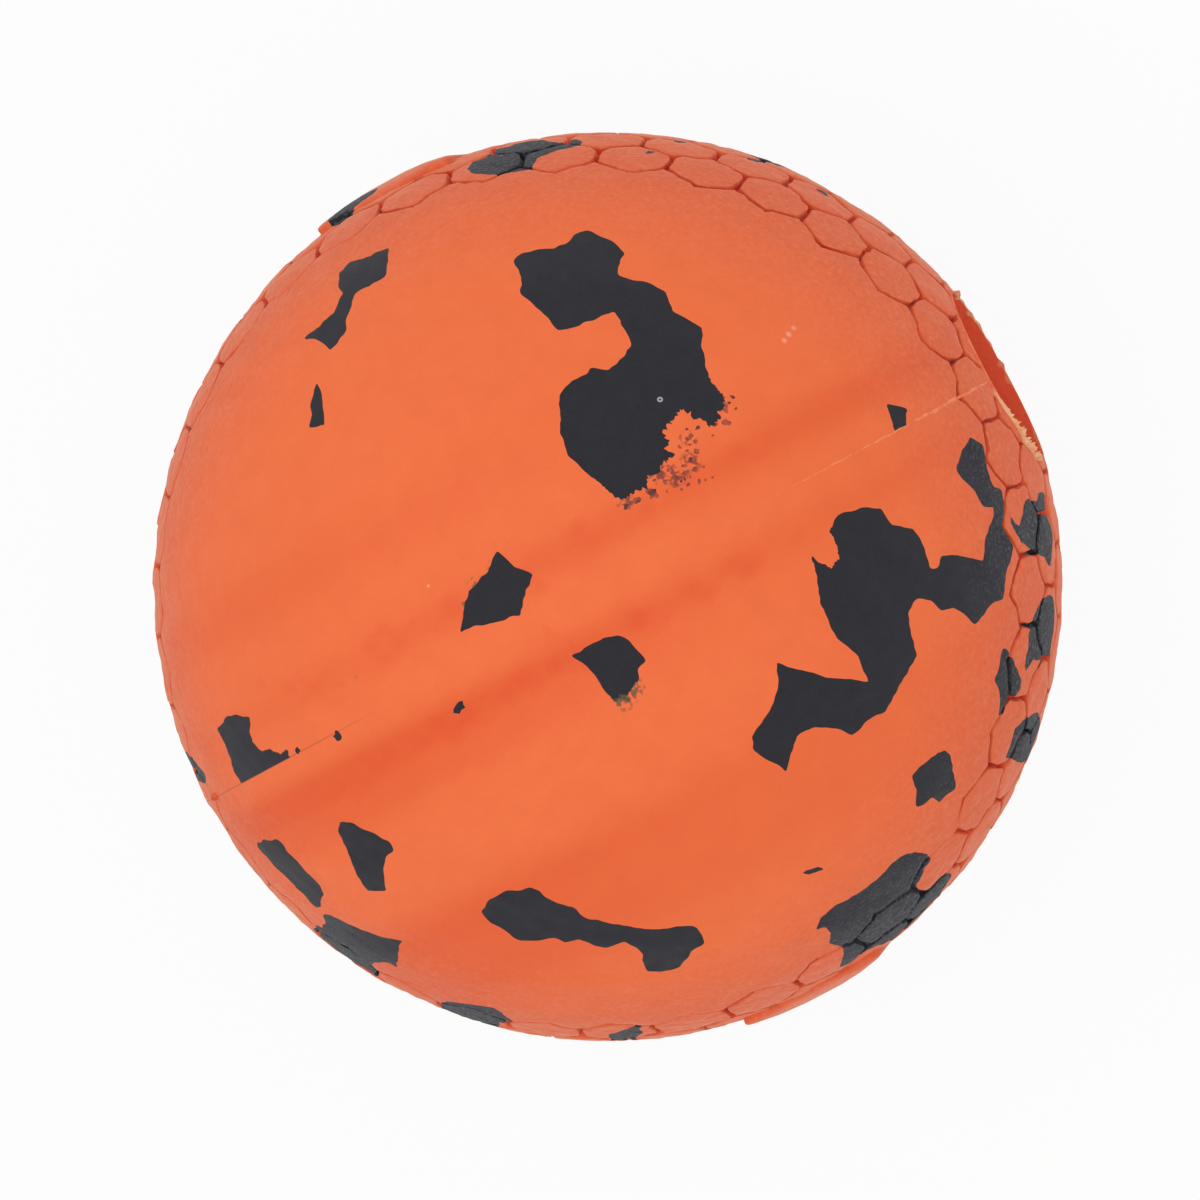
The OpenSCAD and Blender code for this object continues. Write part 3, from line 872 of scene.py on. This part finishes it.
def orange_rubber():
    """Natural rubber, moulded and tumbled: matt, paler and grainy on the belt, redder in grooves with
    painted shade and bounce light, and brighter in the bore with painted glow.

    Layers of colour lie over the base, each a share and a colour.
    """
    made, tree, shader, place = new_material("moulded_orange_rubber")
    cloud = add(tree, "TexNoise", {"Vector": place, "Scale": per(16), "Detail": 2.0})
    mottle = add(tree, "TexNoise", {"Vector": place, "Scale": per(2.4), "Detail": 4.0})
    grain = add(tree, "TexNoise", {"Vector": place, "Scale": per(0.45), "Detail": 3.0})
    axes = add(tree, "SeparateXYZ", {0: place})
    tint = add(tree, "Mix", {0: cloud, 6: "#EE6933", 7: "#F3723A"}, data_type="RGBA")
    # Deeper orange along the seam, partly where the caps are rubbed and partly painted shade of their
    # relief, and a mottle over all
    soft = add(tree, "MapRange", {0: mottle, 1: 0.35, 2: 0.7, 3: 0.0, 4: 0.2})
    layers = [(relief_shade_bands(tree, axes), "#E55820"), (soft, "#E2633A")]
    # Paler, grainier rubber towards the belt
    level = add(tree, "Math", {0: axes.outputs[2]}, operation="ABSOLUTE")
    belt_side = add(tree, "MapRange", {0: level, 1: PALE_LEVEL[0] * MM, 2: PALE_LEVEL[1] * MM})
    pale = add(tree, "Math", {0: belt_side, 1: 0.6}, operation="MULTIPLY")
    coarse = add(tree, "MapRange", {
        0: level, 1: GRAIN_LEVEL[0] * MM, 2: GRAIN_LEVEL[1] * MM, 3: 0.1, 4: 1.0})
    dots = add(tree, "MapRange", {0: grain, 1: 0.52, 2: 0.75, 3: 0.0, 4: 0.3})
    pitted = add(tree, "Math", {0: dots, 1: coarse}, operation="MULTIPLY")
    beads = add(tree, "MapRange", {0: grain, 1: 0.48, 2: 0.25, 3: 0.0, 4: 0.28})
    raised = add(tree, "Math", {0: beads, 1: coarse}, operation="MULTIPLY")
    layers += [(pale, "#DA613D"), (pitted, "#BC4A2B"), (raised, "#F09A78")]
    blots = add(tree, "MapRange", {0: grain, 1: 0.4, 2: 0.62, 3: 0.05, 4: 0.8})
    for pixel, reach, colour, broken in STAINS:
        layers.append((patch(tree, place, pixel, reach, blots if broken else 0.5), colour))
    # Hairline of the seam on the side away from the hole
    aside = add(tree, "Math", {0: axes.outputs[1]}, operation="ABSOLUTE")
    hair = add(tree, "MapRange", {
        0: aside, 1: HAIR_WIDTH[0] * MM, 2: HAIR_WIDTH[1] * MM, 3: 0.0, 4: 0.4})
    away = add(tree, "MapRange", {0: axes.outputs[0], 1: HAIR_ENDS[0] * MM, 2: HAIR_ENDS[1] * MM})
    line = add(tree, "Math", {0: hair, 1: away}, operation="MULTIPLY")
    # Painted shade and red bounce light in the grooves, and a brighter orange of painted glow in the
    # bore and the cavity
    radius = add(tree, "VectorMath", {0: place}, operation="LENGTH")
    # The grooves' red is painted shade and bounce light
    start, full = ((BALL_R - depth) * MM for depth in GROOVE_SHADE_DEPTH)
    depth = add(tree, "MapRange", {0: radius, 1: start, 2: full, 3: 0.0, 4: 0.8})
    start, full = ((BALL_R - depth) * MM for depth in INSIDE_DEPTH)
    hollow = add(tree, "MapRange", {0: radius, 1: start, 2: full})
    start, full = ((HOLE_R + gap) * MM for gap in BORE_GLOW_SKIN)
    bore = add(tree, "MapRange", {0: off_axis(tree, place), 1: start, 2: full})
    ahead = add(tree, "Math", {0: axes.outputs[0], 1: 0.0}, operation="GREATER_THAN")
    glowing_bore = add(tree, "Math", {0: bore, 1: ahead}, operation="MULTIPLY")
    inner = add(tree, "Math", {0: hollow, 1: glowing_bore}, operation="MAXIMUM")
    layers += [(line, "#8E4227"), (depth, "#DC3C1A"), (inner, "#F45C36")]
    for share, colour in layers:
        tint = add(tree, "Mix", {0: share, 6: tint, 7: colour}, data_type="RGBA")
    dull = add(tree, "MapRange", {0: mottle, 1: 0.2, 2: 0.8, 3: 0.6, 4: 0.78})
    fine = add(tree, "Bump", {"Strength": coarse, "Distance": 0.07 * MM, "Height": grain})
    bump = add(tree, "Bump", {"Strength": 0.6, "Distance": 0.1 * MM, "Height": mottle, "Normal": fine})
    set_inputs(tree, shader, {
        "Base Color": tint, "Roughness": dull, "Normal": bump, "IOR": 1.45,
        "Sheen Weight": 0.62, "Sheen Roughness": 0.2, "Sheen Tint": "#FFC8A8"})
    return made


# Heights off the belt's middle between which the black grows dusty
DUST_LEVEL = (21, 11)
# Bubble in the comma: pixel, radius of its pale rim and half the rim's width
BUBBLE = (660, 400)
BUBBLE_R = 0.19
BUBBLE_RIM = 0.06
# Torn tip of the tooth: pixel and reach
TOOTH_TIP = (623, 705)
TOOTH_TIP_REACH = 1.2


def black_rubber():
    """Filled black rubber, ground flush with the ball: matt grey black with a dusty grain."""
    made, tree, shader, place = new_material("filled_black_rubber")
    mottle = add(tree, "TexNoise", {"Vector": place, "Scale": per(1.2), "Detail": 4.0})
    grain = add(tree, "TexNoise", {"Vector": place, "Scale": per(0.3), "Detail": 3.0})
    axes = add(tree, "SeparateXYZ", {0: place})
    level = add(tree, "Math", {0: axes.outputs[2]}, operation="ABSOLUTE")
    belt_side = add(tree, "MapRange", {
        0: level, 1: DUST_LEVEL[0] * MM, 2: DUST_LEVEL[1] * MM, 3: 0.03, 4: 1.0})
    dots = add(tree, "MapRange", {0: grain, 1: 0.5, 2: 0.68})
    dust = add(tree, "Math", {0: dots, 1: belt_side}, operation="MULTIPLY")
    tint = add(tree, "Mix", {0: mottle, 6: "#17171F", 7: "#21212A"}, data_type="RGBA")
    # One pale bubble in the comma
    far = add(tree, "VectorMath", {0: place, 1: lifted(BUBBLE) * MM}, operation="DISTANCE")
    bubble = add(tree, "Math", {0: far, 1: BUBBLE_R * MM, 2: BUBBLE_RIM * MM}, operation="COMPARE")
    # Torn tip of the tooth, where orange shows through
    tip = patch(tree, place, TOOTH_TIP, TOOTH_TIP_REACH, grain)
    layers = [(dust, "#4E5058"), (bubble, "#9A9E9E"), (tip, "#866442")]
    for share, colour in layers:
        tint = add(tree, "Mix", {0: share, 6: tint, 7: colour}, data_type="RGBA")
    bump = add(tree, "Bump", {"Strength": belt_side, "Distance": 0.15 * MM, "Height": grain})
    set_inputs(tree, shader, {
        "Base Color": tint, "Normal": bump, "Roughness": 0.75,
        "IOR": 1.4, "Sheen Weight": 0.08, "Sheen Roughness": 0.5})
    return made


def smeared_rubber():
    """Black rubber smeared thin over orange while it was moulded: a matt reddish brown."""
    made, tree, shader, place = new_material("smeared_black_rubber")
    mottle = add(tree, "TexNoise", {"Vector": place, "Scale": per(1.0), "Detail": 2.0})
    thin = add(tree, "MapRange", {0: mottle, 1: 0.4, 2: 0.6})
    tint = add(tree, "Mix", {0: thin, 6: "#5C2A28", 7: "#A84C34"}, data_type="RGBA")
    set_inputs(tree, shader, {"Base Color": tint, "Roughness": 0.75, "IOR": 1.45})
    return made


# Y times Z, in square millimetres, at which the film's torn colour, pale yellow that is partly a
# painted highlight, starts and is full
TORN_QUARTER = (-4, -16)
# Places along X, and distances outside the hole's radius, at which the film's root takes the bore's
# painted glow
ROOT_X = (36.5, 36.4)
ROOT_SKIN = (0.3, 0.2)


def flash_rubber():
    """Film of rubber squeezed out between mould halves: thin, paler, and yellow where torn, the yellow
    partly painted highlight on lit torn edges.
    """
    made, tree, shader, place = new_material("orange_rubber_flash")
    mottle = add(tree, "TexNoise", {"Vector": place, "Scale": per(0.7), "Detail": 2.0})
    axes = add(tree, "SeparateXYZ", {0: place})
    quarter = add(tree, "Math", {0: axes.outputs[1], 1: axes.outputs[2]}, operation="MULTIPLY")
    start, full = (product * MM * MM for product in TORN_QUARTER)
    torn = add(tree, "MapRange", {0: quarter, 1: start, 2: full})
    broken = add(tree, "MapRange", {0: mottle, 1: 0.33, 2: 0.6})
    whole_film = add(tree, "Mix", {0: broken, 6: "#EC6A37", 7: "#F08C60"}, data_type="RGBA")
    # Torn film: its own paler yellow, lightened further as a painted highlight on its lit edges
    torn_lit_film = add(tree, "Mix", {0: broken, 6: "#E9A873", 7: "#F4CC9C"}, data_type="RGBA")
    tint = add(tree, "Mix", {0: torn, 6: whole_film, 7: torn_lit_film}, data_type="RGBA")
    # Root of the hole's film, in the bore's brighter orange of painted glow
    below = add(tree, "MapRange", {0: axes.outputs[0], 1: ROOT_X[0] * MM, 2: ROOT_X[1] * MM})
    start, full = ((HOLE_R + gap) * MM for gap in ROOT_SKIN)
    near = add(tree, "MapRange", {0: off_axis(tree, place), 1: start, 2: full})
    sunk = add(tree, "Math", {0: below, 1: near}, operation="MULTIPLY")
    rooted = add(tree, "Mix", {0: sunk, 6: tint, 7: "#F45C36"}, data_type="RGBA")
    set_inputs(tree, shader, {"Base Color": rooted, "Roughness": 0.65, "IOR": 1.45})
    return made


# Share of the paper that the camera sees as plain white
PAPER_GLOW = 0.92


def white_paper():
    """Matt white card, seen by the camera and in gloss as nearly plain white with a soft shadow."""
    made, tree, shader, _ = new_material("white_paper")
    set_inputs(tree, shader, {"Base Color": (0.8, 0.8, 0.8, 1), "Roughness": 0.9})
    glow = add(tree, "Emission", {"Color": (1, 1, 1, 1), "Strength": 1.0})
    path = add(tree, "LightPath", {})
    seen = path.outputs["Is Camera Ray"]
    for kind in ("Is Glossy Ray", "Is Transmission Ray"):
        seen = add(tree, "Math", {0: seen, 1: path.outputs[kind]}, operation="MAXIMUM")
    lit = add(tree, "Math", {0: seen, 1: PAPER_GLOW}, operation="MULTIPLY")
    both = add(tree, "MixShader", {0: lit, 1: shader, 2: glow})
    set_inputs(tree, tree.nodes["Material Output"], {"Surface": both})
    return made


def without_slivers(made):
    """Takes out the edges and faces of no size that cuts leave behind."""
    work = bmesh.new()
    work.from_mesh(made.data)
    bmesh.ops.dissolve_degenerate(work, dist=SAME_PLACE * MM, edges=work.edges)
    work.to_mesh(made.data)
    work.free()
    return made


def finish_piece(piece, name, material, slot, *nodes):
    """Cleans and names a piece, shades it smooth with sharp edges, and ties it to the CAD body."""
    without_slivers(piece)
    piece.name = name
    piece.data.name = name
    piece.data.materials.clear()
    piece.data.materials.append(material)
    piece.data.polygons.foreach_set("use_smooth", np.ones(len(piece.data.polygons), bool))
    piece.data.set_sharp_from_angle(angle=SHARP_ANGLE)
    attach(piece, "root")
    if nodes:
        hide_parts(*nodes)
    return piece


orange = orange_rubber()
black = black_rubber()
smeared = smeared_rubber()
flash = flash_rubber()

# Whole skin of the ball, with its plates, cavity and treat hole
places, faces = joined([belt(), cap(1), cap(-1)])
skin = seal(make_object("skin", shaken(places), faces))
plates = seal(make_object("plates", *joined([plate(1), plate(-1)])))
cavity = ball("cavity", CAVITY_R, parts=64)
start, end = HOLE_ENDS
hole_profile = ((start, 0), (start, HOLE_R), (end, HOLE_R), (end, 0))
hole = seal(make_object("hole", *revolved(hole_profile, around=192)))
plated = combined(skin, plates, "UNION", "plated")
hollow = combined(plated, cavity, "DIFFERENCE", "hollow")
opened = combined(hollow, hole, "DIFFERENCE", "opened")
floor_ball = ball("floor_ball", FLAKE_FLOOR_R, parts=96)
crumb_ball = ball("crumb_ball", CRUMB_FLOOR_R, parts=96)
discard(skin, plates, cavity, hole, plated, hollow)

CRUMB_KINDS = (("crumbs", crumb_bars(), black), ("smears", smear_bars(), smeared))
for side, half in ((1, "half_left"), (-1, "half_right")):
    names = [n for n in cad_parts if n.startswith("flake_")]
    names = sorted(n for n in names if side * sum(corner.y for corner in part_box(n)) > 0)
    box = seal(make_object("box", *half_space(side)))
    blank = combined(opened, box, "INTERSECT", "blank")
    bars = make_object("bars", *joined([flake_bar(n, side) for n in names]))
    cutters = combined(bars, floor_ball, "DIFFERENCE", "cutters")
    shell = combined(blank, cutters, "DIFFERENCE", "shell")
    flakes = combined(blank, cutters, "INTERSECT", "flakes")
    # Crumbs and smears, kept out of the flakes
    for name, crumbs, material in CRUMB_KINDS:
        raw_crumbs = make_object("raw_crumbs", *joined(crumbs))
        crumb_cutters = combined(raw_crumbs, crumb_ball, "DIFFERENCE", "crumb_cutters")
        whole = combined(blank, crumb_cutters, "INTERSECT", "whole")
        specks = combined(whole, cutters, "DIFFERENCE", "specks")
        if not len(specks.data.polygons):
            discard(raw_crumbs, crumb_cutters, whole, specks)
            continue
        finish_piece(specks, half.replace("half", name) + "_rubber", material, "flake_rubber")
        pitted = combined(shell, crumb_cutters, "DIFFERENCE", "pitted")
        discard(raw_crumbs, crumb_cutters, whole, shell)
        shell = pitted
    finish_piece(shell, half + "_rubber", orange, "shell_rubber", half)
    # Flakes, each taken to the node whose box has the nearest middle
    bpy.ops.object.select_all(action="DESELECT")
    bpy.context.view_layer.objects.active = flakes
    flakes.select_set(True)
    bpy.ops.mesh.separate(type="LOOSE")
    middles = np.array([np.mean(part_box(n), axis=0) for n in names])
    for piece in list(bpy.context.selected_objects):
        corners = np.array([v.co for v in piece.data.vertices])
        middle = (corners.min(0) + corners.max(0)) / 2
        nearest = names[np.argmin(np.linalg.norm(middles - middle, axis=1))]
        finish_piece(piece, nearest + "_rubber", black, "flake_rubber", nearest)
    discard(box, blank, bars, cutters)
discard(opened, floor_ball, crumb_ball)

# Flash round the hole and along the seam beside it
film = seal(make_object("hole_flash", *hole_flash()))
finish_piece(film, "hole_flash", flash, "shell_rubber")
ridge = seal(make_object("seam_flash", *seam_flash(*RIDGE)))
finish_piece(ridge, "seam_flash", flash, "shell_rubber")
nub = seal(make_object("seam_nub", *seam_flash(*NUB)))
finish_piece(nub, "seam_nub", orange, "shell_rubber")

# White floor under the ball
FLOOR_HALF = 3000.0
FLOOR_CORNERS = ((-1, -1), (1, -1), (1, 1), (-1, 1))
floor_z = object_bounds()[0][2] / MM
places = [(x * FLOOR_HALF, y * FLOOR_HALF, floor_z) for x, y in FLOOR_CORNERS]
floor = make_object("floor", places, [(0, 1, 2, 3)])
floor.data.materials.append(white_paper())

# Camera at the photograph's viewing angle
lens = bpy.data.cameras.new("camera")
lens.sensor_width = SENSOR
lens.lens = FOCAL
lens.shift_x = SHIFT_X
lens.shift_y = SHIFT_Y
lens.clip_start = 0.01
lens.clip_end = 50
camera = bpy.data.objects.new("camera", lens)
placed = np.eye(4)
placed[:3] = np.column_stack([RIGHT, UP, BACK, BACK * CAMERA_FAR * MM])
camera.matrix_world = Matrix(placed.tolist())
bpy.context.scene.collection.objects.link(camera)
bpy.context.scene.camera = camera


# A direction that the lamp doesn't face
LAMP_ASKEW = (0.1, 0.9, 0.3)


def soft_lamp(name, way, far, size, power):
    """Square soft box at a distance in metres along a direction, facing the ball."""
    lamp = bpy.data.lights.new(name, "AREA")
    lamp.size = size
    lamp.energy = power
    held = bpy.data.objects.new(name, lamp)
    facing = unit(np.array(way, float))
    beside = unit(np.cross(LAMP_ASKEW, facing))
    turned = np.eye(4)
    turned[:3] = np.column_stack([beside, np.cross(facing, beside), facing, facing * far])
    held.matrix_world = Matrix(turned.tolist())
    bpy.context.scene.collection.objects.link(held)


# One soft lamp, to the left of the camera and a little below it, and a white sky all round
soft_lamp("key", BACK - 0.1 * UP - 0.3 * RIGHT, far=1.2, size=0.9, power=2.5)

world = bpy.data.worlds.new("studio")
world.use_nodes = True
sky = world.node_tree.nodes["Background"]
sky.inputs["Color"].default_value = (1, 1, 1, 1)
sky.inputs["Strength"].default_value = 0.88
bpy.context.scene.world = world
bpy.context.scene.view_settings.view_transform = "Standard"
